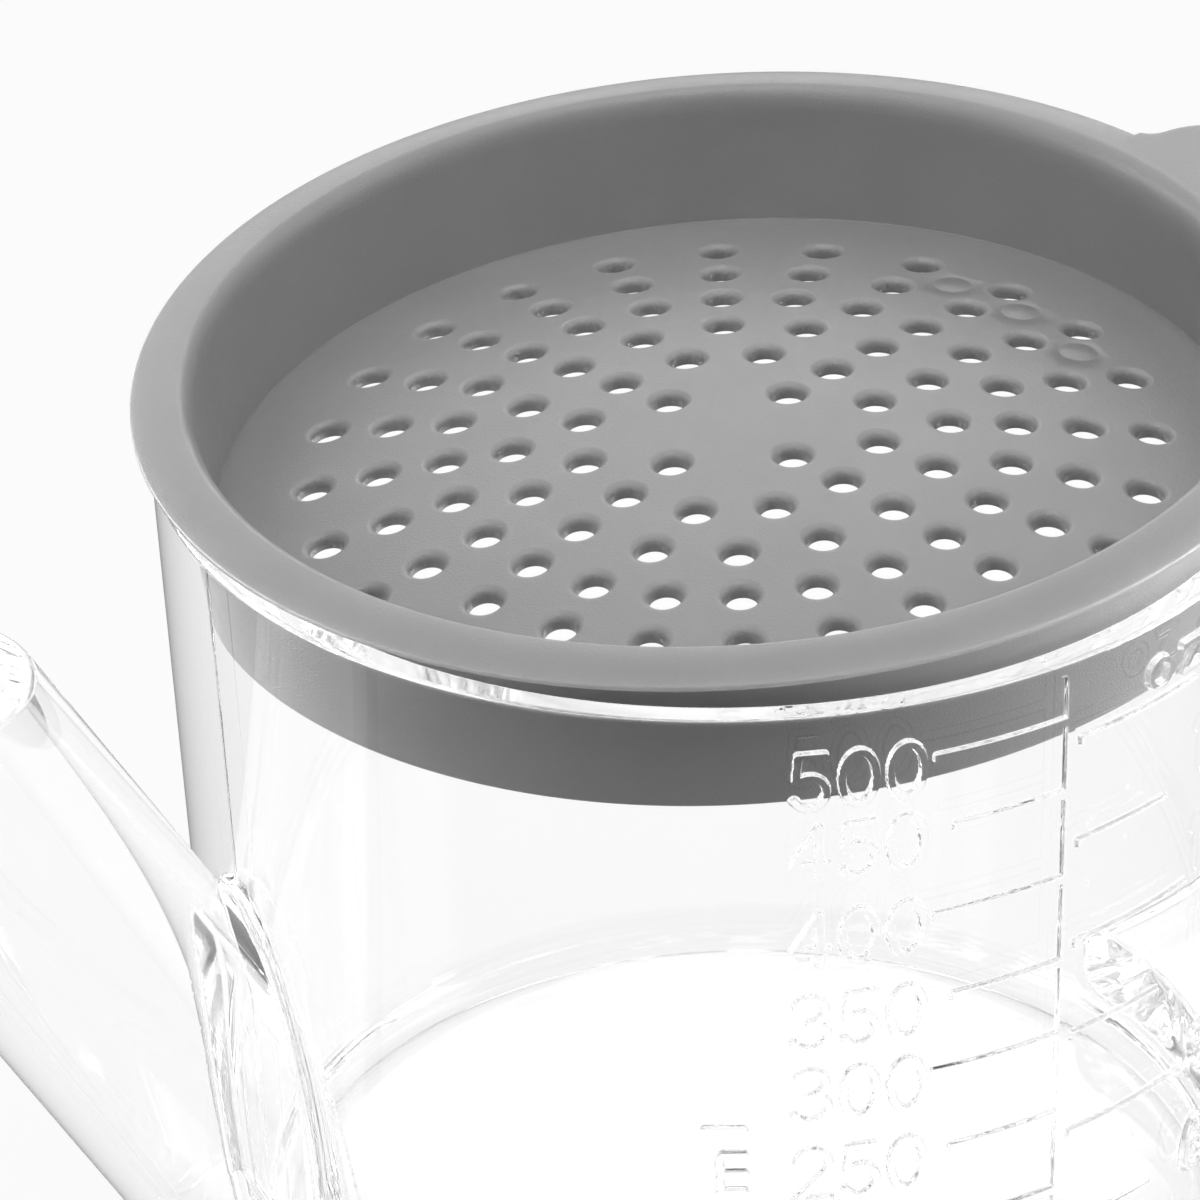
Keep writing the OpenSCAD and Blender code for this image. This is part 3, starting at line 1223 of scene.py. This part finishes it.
@dataclass
class Strainer:
    """The grey strainer: flange, bowl wall, domed sieve and lifting tab.

    Its own frame has its origin at the middle of the flange's underside.
    """

    seat: Tuple[float, float, float] = (-0.2177, 0.0, 88.8)
    tilt: float = 2.6

    # Flange
    flange_r: float = 50.0
    flange_t: float = 1.52
    flange_edge: float = 0.12
    crown_r: float = 7.9
    roll_w: float = 1.3
    roll_h: float = 2.05

    # Bowl wall and sieve
    top_r: float = 46.136
    bowl_t: float = 1.4
    draft: float = 4.0
    drop: float = 13.5
    wall_top: float = 0.8
    wall_top_edge: float = 0.05
    root_fillet: float = 0.4
    corner_r: float = 0.4
    foot_r: float = 43.4
    ball_r: float = 187.9
    ball_z: float = -193.93
    sieve_t: float = 1.38
    inner_corner: float = 0.2
    under_edge: float = 0.3
    crease: float = 0.02

    # Lifting tab
    tab_start: float = 40.0
    tab_reach: float = 55.6
    tab_half: float = 10.9
    tab_corner: float = 6.5
    tab_fillet: float = 1.2
    tab_inset: float = 0.4
    tab_near: float = 3.0
    tab_slope: Pair = (46.0, 54.0)
    tab_rise: float = 0.47
    tab_blend: float = 0.7
    blend_skin: float = 0.05
    blend_depth: float = 0.8
    least_blend: float = 0.02

    # Holes
    hole_r: float = 1.4
    lead_in: float = 0.75
    lead_rings: int = 8
    nick: float = 0.05
    nick_rings: int = 3
    hole_turn: float = 18.0
    ring_first: float = 7.15
    ring_step: float = 5.66
    ring_counts: Tuple[int, ...] = (4, 12, 16, 24, 24, 24)

    # Marks of the ejector pins: places as radius and direction
    mark_spots: Tuple[Pair, ...] = ((33.0, 25.4), (33.0, 12.0), (33.0, -3.2))
    mark_r: Tuple[float, ...] = (1.5, 1.6, 1.72, 1.82)
    mark_lean: Tuple[float, ...] = (0.5, 0.3, -0.3, -0.5)
    mark_depth: float = 0.06

    # Mesh
    around: int = 40
    spot_rings: Tuple[float, float, float] = (4.3, 38.0, 2.83)
    spots_per_mm: float = 2.2
    least_spots: int = 8
    hole_margin: float = 0.35
    mark_margin: float = 0.3
    mark_core: float = 1.0
    hole_slack: float = 0.001
    radial_lines: Tuple[Tuple[float, ...], ...] = (
        (38.6, 1.0, 41.6, 0.35, 44.1, 0.12, 44.58),
        (44.65, 0.17, 44.99, 0.2, 45.85, 0.06, 46.21),
        (46.35, 0.25, 49.6, 0.12, 50.2, 0.25, 56.2),
    )
    turn_lines: Tuple[float, ...] = (0, 0.35, 16, 1.2, 344, 0.35, 360)
    height_lines: Tuple[Tuple[float, ...], ...] = (
        (-13.7, 0.16, -12.9, 0.3, -11.7, 0.1, -10.9, 0.4, -10.0, 0.8, -1.2, 0.2, -0.6, 0.12, 2.14),
    )
    drafted_from: Pair = (42.0, 44.5)

    finish: GreyPlastic = field(default_factory=GreyPlastic)

    def bowl_r(self, z: np.ndarray) -> np.ndarray:
        """Outer radius of the bowl's wall at a height."""
        return self.top_r + z * math.tan(math.radians(self.draft))

    def crest_r(self) -> float:
        """Radius of the flange's highest line, where its rolled inner edge ends."""
        return self.top_r - self.bowl_t + self.roll_w

    def tab_outline(self, x: np.ndarray, y: np.ndarray) -> np.ndarray:
        """Signed distance in plan to the tab with its fillets.

        Args:
            x: Places along the tab.
            y: Places across the tab.

        Returns:
            Distance to the outline, negative inside.
        """
        length = self.tab_reach - self.tab_start
        box = round_max(np.abs(x - self.tab_start) - length, np.abs(y) - self.tab_half, self.tab_corner)
        disc = np.hypot(x, y) - self.flange_r + self.tab_inset
        joined = round_min(box, disc, self.tab_fillet)
        return np.maximum(joined, np.abs(y) - self.tab_half - self.tab_fillet)

    def plate(self, x: np.ndarray, y: np.ndarray, z: np.ndarray) -> np.ndarray:
        """Signed distance to the flange with its falling crown and the lifting tab.

        Args:
            x: Places towards the tab.
            y: Places across.
            z: Heights over the flange's underside.

        Returns:
            Distance to the plate, negative inside.
        """
        r = np.hypot(x, y)
        deck = self.flange_t - self.crease
        crown = np.hypot(r - self.crest_r(), z - deck + self.crown_r) - self.crown_r
        top = np.where(r > self.crest_r(), crown, z - self.flange_t)
        flange = round_max(round_max(top, -z, self.flange_edge), r - self.flange_r, self.flange_edge)
        outline = self.tab_outline(x, y)
        half = deck / 2
        low, high = self.tab_slope
        rise = self.tab_rise * np.clip((x - low) / (high - low), 0.0, 1.0)
        tab = np.hypot(np.maximum(outline + half, 0), z - rise - half) - half
        tab = np.where((x > self.tab_start) & (outline < self.tab_near), tab, FAR)
        depth = (self.flange_t - self.blend_skin - z) / self.blend_depth
        return round_min(flange, tab, np.clip(depth, self.least_blend, 1.0) * self.tab_blend)

    def distance(self, x: np.ndarray, y: np.ndarray, z: np.ndarray) -> np.ndarray:
        """Signed distance to the flange, wall, tab and edge of the sieve.

        Args:
            x: Places towards the tab.
            y: Places across.
            z: Heights over the flange's underside.

        Returns:
            Distance to the strainer, negative inside.
        """
        r = np.hypot(x, y)
        lean = math.cos(math.radians(self.draft))
        wall = round_max((r - self.bowl_r(z)) * lean, -self.drop - z, self.corner_r)
        wall = round_max(wall, z - self.wall_top, self.wall_top_edge)
        fillet = np.where(z > self.root_fillet, self.least_blend, self.root_fillet)
        body = round_min(self.plate(x, y, z), wall, fillet)
        ball = np.hypot(r, z - self.ball_z)
        inner = np.where(z < 0, self.bowl_r(z), self.top_r) - self.bowl_t
        hollow = round_max((r - inner) * lean, self.ball_r - ball, self.inner_corner)
        rolled = round_max(z - self.flange_t, -hollow * self.roll_h / self.roll_w, self.roll_h)
        body = np.maximum(body, np.where(r < self.crest_r(), rolled, -FAR))
        under = np.minimum(self.ball_r - self.sieve_t - ball, self.foot_r - r)
        return round_max(body, under, self.under_edge)

    def grid(self) -> RoundGrid:
        """Grid lines that follow the bowl's wall and are close at the flange.

        Returns:
            The grid.
        """
        tan = math.tan(math.radians(self.draft))
        low, high = self.drafted_from

        def place(r: np.ndarray, z: np.ndarray) -> np.ndarray:
            """Real radius of a grid radius at a height."""
            return r + np.minimum(z, 0.0) * tan * np.clip((r - low) / (high - low), 0.0, 1.0)

        turns = np.radians(steps(*self.turn_lines)[:-1])
        return RoundGrid(stretches(self.radial_lines), turns, stretches(self.height_lines), place)

    def hole_centres(self) -> np.ndarray:
        """Places of the holes in plan.

        Returns:
            Rows of x and y, ring by ring from the inside.
        """
        rows = []
        for ring, count in enumerate(self.ring_counts):
            turn = np.radians(self.hole_turn) + np.arange(count) * 2 * math.pi / count
            radius = self.ring_first + ring * self.ring_step
            rows.append(np.c_[radius * np.cos(turn), radius * np.sin(turn)])
        return np.vstack(rows)

    def face_z(self, xy: np.ndarray, depth: float) -> np.ndarray:
        """Height of the sieve at a depth under its top face."""
        reach = self.ball_r - depth
        return self.ball_z + np.sqrt(reach**2 - (xy**2).sum(1))

    def face_out(self, xyz: np.ndarray) -> np.ndarray:
        """Outward directions of the sieve's top face under points."""
        return unit(xyz - np.array([[0.0, 0.0, self.ball_z]]))

    def spokes(self) -> np.ndarray:
        """Directions round a hole or a mark, as rows of x and y."""
        turn = np.arange(self.around) * 2 * math.pi / self.around
        return np.c_[np.cos(turn), np.sin(turn)]

    def hole_rings(self) -> List[Tuple[float, float, float, float]]:
        """Rings of points down a hole, from its countersink to its lower edge.

        Returns:
            For each ring its radius and depth, and the share of the point's
            direction that goes away from the hole's middle and up.
        """
        rings = []
        for a in np.radians(np.linspace(0, 90, self.lead_rings)):
            radius = self.hole_r + self.lead_in * (1 - math.sin(a))
            rings.append((radius, self.lead_in * (1 - math.cos(a)), -math.sin(a), math.cos(a)))
        for a in np.radians(np.linspace(0, 90, self.nick_rings)):
            radius = self.hole_r + self.nick * (1 - math.cos(a))
            rings.append((radius, self.sieve_t - self.nick * (1 - math.sin(a)), -math.cos(a), -math.sin(a)))
        return rings

    def funnels(self) -> Tuple[Skin, List[List[List[int]]]]:
        """Walls of all the holes.

        Returns:
            The walls, and the numbers of the points round each hole's lower edge and
            round each hole's upper edge.
        """
        points, normals, faces = [], [], []
        loops: List[List[List[int]]] = [[], []]
        spokes, rings, around = self.spokes(), self.hole_rings(), self.around
        first = 0
        for centre in self.hole_centres():
            for radius, depth, flat, rise in rings:
                xy = centre + spokes * radius
                xyz = np.c_[xy, self.face_z(xy, depth)]
                points.append(xyz)
                normals.append(self.face_out(xyz) * rise + np.c_[spokes * flat, np.zeros(around)])
            for ring in range(len(rings) - 1):
                start = first + ring * around
                for i in range(around):
                    a, b = start + i, start + (i + 1) % around
                    faces.append((a, b, b + around, a + around))
            last = first + around * (len(rings) - 1)
            loops[1].append(list(range(first, first + around)))
            loops[0].append(list(range(last, last + around)))
            first = last + around
        return Skin(np.vstack(points), np.vstack(normals), faces), loops

    def marks(self) -> Tuple[np.ndarray, np.ndarray, np.ndarray]:
        """Fine round grooves that the mould's ejector pins leave on the sieve's top face.

        Returns:
            Middles of the marks, points of their rings, and the share by which each
            point's direction leans away from its mark's middle.
        """
        radii, turns = np.array(self.mark_spots).T
        turns = np.radians(turns)
        middles = np.c_[radii * np.cos(turns), radii * np.sin(turns)]
        spokes = self.spokes()
        depths = (0.0, self.mark_depth, self.mark_depth, 0.0)
        points, out = [], []
        for middle in middles:
            for radius, depth, lean in zip(self.mark_r, depths, self.mark_lean):
                xy = middle + spokes * radius
                points.append(np.c_[xy, self.face_z(xy, depth)])
                out.append(np.c_[spokes * lean, np.zeros(len(spokes))])
        return middles, np.vstack(points), np.vstack(out)

    def free_spots(self, reach: float, middles: np.ndarray) -> np.ndarray:
        """Spots between the holes and the marks, which even out the triangles.

        Args:
            reach: Radius of the holes on this face.
            middles: Middles of the marks.

        Returns:
            Rows of x and y.
        """
        centres = self.hole_centres()
        spots = []
        for k, radius in enumerate(np.arange(*self.spot_rings)):
            count = max(self.least_spots, int(radius * self.spots_per_mm))
            turn = (np.arange(count) + 0.5 * (k % 2)) * 2 * math.pi / count
            ring = np.c_[radius * np.cos(turn), radius * np.sin(turn)]
            gaps = np.linalg.norm(ring[:, None] - centres[None], axis=2).min(1)
            away = np.linalg.norm(ring[:, None] - middles[None], axis=2).min(1)
            off_marks = (away > self.mark_r[-1] + self.mark_margin) | (away < self.mark_core)
            spots.append(ring[(gaps > reach + self.hole_margin) & off_marks])
        return np.vstack([*spots, np.zeros((1, 2))])

    def face(self, skin: Skin, side: int, loop: Sequence[int], holes: Sequence[Sequence[int]]) -> Skin:
        """Adds the lower or the upper face of the sieve.

        Args:
            skin: The strainer's skin so far.
            side: Nought for the lower face and one for the upper.
            loop: Numbers of the points round the face's outer edge.
            holes: Numbers of the points round each hole on this face.

        Returns:
            The skin with the face.
        """
        middles, mark_points, mark_leans = self.marks()
        rings = self.hole_rings()
        reach = rings[0][0] if side else rings[-1][0]
        spots = self.free_spots(reach, middles)
        if side:
            spots = np.vstack([spots, mark_points[:, :2]])
        ids = [int(i) for i in loop] + [i for hole in holes for i in hole]
        flat = np.vstack([skin.points[ids, :2], spots])
        edges, start = [], 0
        for size in [len(loop)] + [self.around] * len(holes):
            edges += [(start + i, start + (i + 1) % size) for i in range(size)]
            start += size
        tris = self._triangles(flat, edges)
        ways = flat[tris].mean(1)[:, None] - self.hole_centres()[None]
        inside = reach * math.cos(math.pi / self.around) - self.hole_slack
        tris = tris[np.linalg.norm(ways, axis=2).min(1) > inside]
        xyz = np.c_[spots, self.face_z(spots, 0.0 if side else self.sieve_t)]
        out = self.face_out(xyz)
        if side:
            xyz[-len(mark_points) :] = mark_points
            out[-len(mark_points) :] += mark_leans
        total = len(skin.points)
        index = np.array(ids + list(range(total, total + len(spots))))
        turned = index[tris] if side else index[tris][:, ::-1]
        faces = skin.faces + [tuple(row) for row in turned.tolist()]
        normals = np.vstack([skin.normals, out if side else -out])
        return Skin(np.vstack([skin.points, xyz]), normals, faces)

    @staticmethod
    def _triangles(flat: np.ndarray, edges: Sequence[Tuple[int, int]]) -> np.ndarray:
        """Triangles between fixed points and edges in a plane, turning left.

        Args:
            flat: Rows of x and y.
            edges: Pairs of point numbers that have to be edges.

        Returns:
            Rows of three point numbers.
        """
        spots = [Vector(p) for p in flat]
        made = delaunay_2d_cdt(spots, edges, [], 0, SAME_SPOT)
        back = [origin[0] if origin else -1 for origin in made[3]]
        tris = np.array([[back[i] for i in face] for face in made[2]])
        tris = tris[(tris >= 0).all(1)]
        a, b, c = flat[tris[:, 0]], flat[tris[:, 1]], flat[tris[:, 2]]
        turn = (b[:, 0] - a[:, 0]) * (c[:, 1] - a[:, 1]) - (b[:, 1] - a[:, 1]) * (c[:, 0] - a[:, 0])
        tris[turn < 0] = tris[turn < 0][:, ::-1]
        return tris[np.abs(turn) > NO_AREA]

    def skin(self) -> Skin:
        """Meshes the whole strainer as one closed skin, in its own frame.

        Returns:
            The skin.
        """
        grid = self.grid()
        values = self.distance(*grid.nodes(np.arange(len(grid.angles))))
        rim, number = grid.skin(values, self.distance)
        loops = [[row[row >= 0][at] for row in number[0]] for at in (0, -1)]
        walls, holes = self.funnels()
        shift = len(rim.points)
        whole = rim.joined(walls)
        for side, loop in enumerate(loops):
            moved = [[shift + i for i in hole] for hole in holes[side]]
            whole = self.face(whole, side, loop, moved)
        return whole

    def build(self) -> bpy.types.Object:
        """Makes the strainer, seated, dressed and riding on its body.

        Returns:
            The strainer's object.
        """
        skin = self.skin()
        lean = math.radians(self.tilt)
        turn = np.array(
            [
                [math.cos(lean), 0.0, -math.sin(lean)],
                [0.0, 1.0, 0.0],
                [math.sin(lean), 0.0, math.cos(lean)],
            ]
        )
        seated = Skin(skin.points @ turn.T + np.array(self.seat), skin.normals @ turn.T, skin.faces)
        made = seated.as_object("grey_strainer")
        made.data.materials.append(self.finish.material("grey_strainer_plastic"))
        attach(made, Body.STRAINER.value)
        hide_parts("strainer_flange", "strainer_wall", "strainer_floor", "lift_tab")
        return made


# The studio


@dataclass(frozen=True)
class SoftLamp:
    """One soft square or oblong lamp."""

    name: str
    place: Tuple[float, float, float]
    power: float
    size: Pair = (0.9, 0.9)

    def hang(self, target: Vector) -> bpy.types.Object:
        """Hangs the lamp and turns it to a target.

        Args:
            target: Where the lamp looks.

        Returns:
            The lamp.
        """
        data = bpy.data.lights.new(self.name, "AREA")
        data.shape = "RECTANGLE"
        data.size, data.size_y = self.size
        data.energy = self.power
        lamp = bpy.data.objects.new(self.name, data)
        lamp.location = self.place
        lamp.rotation_mode = "QUATERNION"
        lamp.rotation_quaternion = (Vector(self.place) - target).to_track_quat("Z", "Y")
        bpy.context.scene.collection.objects.link(lamp)
        return lamp


@dataclass
class Studio:
    """White floor and world, soft lamps and the camera of the photograph, in metres."""

    camera_at: Tuple[float, float, float] = (-0.270275, -0.501245, 0.410814)
    heading: float = 62.8044
    dip: float = 31.1946
    roll: float = -1.7062
    lens: float = 234.38
    sensor: float = 36.0
    clip: Pair = (0.01, 50.0)
    floor_size: float = 3.0
    floor_drop: float = 0.0001
    floor_paint: float = 0.62
    floor_glow: float = 0.92
    through_glow: float = 1.0
    # Painted shade in reflections: the dark grey paint and faint glow that glossy rays see on the white
    # floor
    reflection_shade_paint: float = 0.15
    reflection_shade_glow: float = 0.05
    world_level: float = 0.04
    open_side: float = -118.3
    open_span: Pair = (0.45, 0.85)
    open_level: float = 0.12
    room_top: Pair = (0.12, 0.42)
    room_level: float = 0.15
    bounces: int = 64
    lamp_target: Tuple[float, float, float] = (0.0, 0.0, 0.05)
    lamps: Tuple[SoftLamp, ...] = (
        SoftLamp("front_top_lamp", (-0.232, -0.437, 1.522), 10.6),
        SoftLamp("front_left_lamp", (-1.253, -0.383, 0.918), 4.6),
        SoftLamp("right_lamp", (1.328, -0.706, 0.547), 5.4),
        SoftLamp("right_high_lamp", (0.908, -0.483, 1.226), 2.7),
        SoftLamp("left_high_lamp", (-0.908, 0.483, 1.226), 1.7),
        SoftLamp("back_lamp", (0.706, 1.328, 0.547), 4.5),
        SoftLamp("back_high_lamp", (0.483, 0.908, 1.226), 2.2),
        SoftLamp("right_low_strip", (0.742, -0.3, 0.052), 10.4, (0.8, 0.1)),
        SoftLamp("left_low_strip", (-0.613, 0.514, 0.052), 7.7, (0.8, 0.1)),
    )

    @staticmethod
    def seen_rays(nodes: Nodes, straight: float, through: float, gloss: float) -> Socket:
        """How much of the white glow each kind of ray sees.

        Args:
            nodes: The tree that gets the nodes.
            straight: Share for rays from the camera.
            through: Share for rays that come through clear plastic.
            gloss: Share for rays that a glossy surface throws back.

        Returns:
            The share's socket, nought for all other rays.
        """
        path = nodes.add("ShaderNodeLightPath")
        shares = {"Is Camera Ray": straight, "Is Transmission Ray": through, "Is Glossy Ray": gloss}
        seen = [nodes.calc("MULTIPLY", path.outputs[ray], share) for ray, share in shares.items()]
        return nodes.calc("MAXIMUM", nodes.calc("MAXIMUM", seen[0], seen[1]), seen[2])

    def lay_floor(self) -> bpy.types.Object:
        """Lays the white floor, which keeps the object's shadow. To glossy rays it shows a dark grey with
        almost no glow, a painted shade that darkens its reflections.

        Returns:
            The floor.
        """
        half, low = self.floor_size / 2, -self.floor_drop
        mesh = bpy.data.meshes.new("studio_floor")
        corners = [(-half, -half, low), (half, -half, low), (half, half, low), (-half, half, low)]
        mesh.from_pydata(corners, [], [(0, 1, 2, 3)])
        floor = bpy.data.objects.new("studio_floor", mesh)
        bpy.context.scene.collection.objects.link(floor)
        material = bpy.data.materials.new("studio_white")
        nodes = Nodes(material)
        path = nodes.add("ShaderNodeLightPath")
        paint = nodes.add("ShaderNodeBsdfDiffuse")
        # Painted shade: glossy rays see the floor dark grey with almost no glow, so reflections of it come
        # out dark
        paints = [(tone,) * 3 for tone in (self.floor_paint, self.reflection_shade_paint)]
        nodes.link(nodes.tint(path.outputs["Is Glossy Ray"], *paints), paint.inputs["Color"])
        glow = nodes.add("ShaderNodeEmission")
        seen = self.seen_rays(nodes, self.floor_glow, self.through_glow, self.reflection_shade_glow)
        nodes.show(nodes.blend(seen, paint.outputs[0], glow.outputs[0]))
        mesh.materials.append(material)
        return floor

    def light_world(self) -> None:
        """Sets the world, seen as a white tent with a dark open side, in a dim room."""
        world = bpy.data.worlds.new("studio_world")
        bpy.context.scene.world = world
        nodes = Nodes(world)
        where = nodes.add("ShaderNodeTexCoord").outputs["Generated"]
        turn = math.radians(self.open_side)
        opening = (math.cos(turn), math.sin(turn), 0.0)
        towards = nodes.add("ShaderNodeVectorMath", {1: opening}, operation="DOT_PRODUCT")
        nodes.link(where, towards.inputs[0])
        tent = nodes.mapped(towards.outputs["Value"], self.open_span, (1.0, self.open_level), smooth=True)
        parts = nodes.add("ShaderNodeSeparateXYZ")
        nodes.link(where, parts.inputs["Vector"])
        room = nodes.mapped(parts.outputs["Z"], self.room_top, (self.room_level, 1.0), smooth=True)
        level = nodes.calc("MAXIMUM", self.seen_rays(nodes, 1.0, 1.0, 1.0), self.world_level)
        strength = nodes.calc("MULTIPLY", level, nodes.calc("MULTIPLY", room, tent))
        air = nodes.add("ShaderNodeBackground")
        nodes.link(strength, air.inputs["Strength"])
        out = nodes.add("ShaderNodeOutputWorld")
        nodes.link(air.outputs[0], out.inputs["Surface"])

    def camera_turn(self) -> Matrix:
        """Turn of the camera, which looks along its own -Z with its own +Y up.

        Returns:
            The turn as a matrix of three rows.
        """
        heading, dip, roll = (math.radians(angle) for angle in (self.heading, self.dip, self.roll))
        ahead = Vector((math.cos(heading), math.sin(heading), 0.0))
        forward = ahead * math.cos(dip) - Vector((0.0, 0.0, math.sin(dip)))
        level = Vector((math.sin(heading), -math.cos(heading), 0.0))
        upright = level.cross(forward)
        right = level * math.cos(roll) + upright * math.sin(roll)
        up = upright * math.cos(roll) - level * math.sin(roll)
        return Matrix((right, up, -forward)).transposed()

    def place_camera(self) -> bpy.types.Object:
        """Places the camera as the photograph has it.

        Returns:
            The camera.
        """
        data = bpy.data.cameras.new("photo_camera")
        data.sensor_width = self.sensor
        data.lens = self.lens
        data.clip_start, data.clip_end = self.clip
        camera = bpy.data.objects.new("photo_camera", data)
        camera.matrix_world = Matrix.Translation(self.camera_at) @ self.camera_turn().to_4x4()
        bpy.context.scene.collection.objects.link(camera)
        bpy.context.scene.camera = camera
        return camera

    def build(self) -> None:
        """Sets up floor, world, lamps and camera, and lets light run along the clear walls."""
        self.lay_floor()
        self.light_world()
        for lamp in self.lamps:
            lamp.hang(Vector(self.lamp_target))
        self.place_camera()
        scene = bpy.context.scene
        scene.view_settings.view_transform = "Standard"
        scene.cycles.max_bounces = self.bounces
        scene.cycles.transmission_bounces = self.bounces
        scene.cycles.glossy_bounces = self.bounces
        scene.cycles.caustics_refractive = False
        scene.cycles.caustics_reflective = False


def report_piece(piece: bpy.types.Object) -> None:
    """Logs a piece's name and its number of points."""
    log.info("%s: %d points", piece.name, len(piece.data.vertices))


def main() -> None:
    """Builds the studio, the jug and the strainer in order."""
    logging.basicConfig(level=logging.INFO)
    Studio().build()
    for maker in (Jug(), Strainer()):
        report_piece(maker.build())


if __name__ == "__main__":
    main()
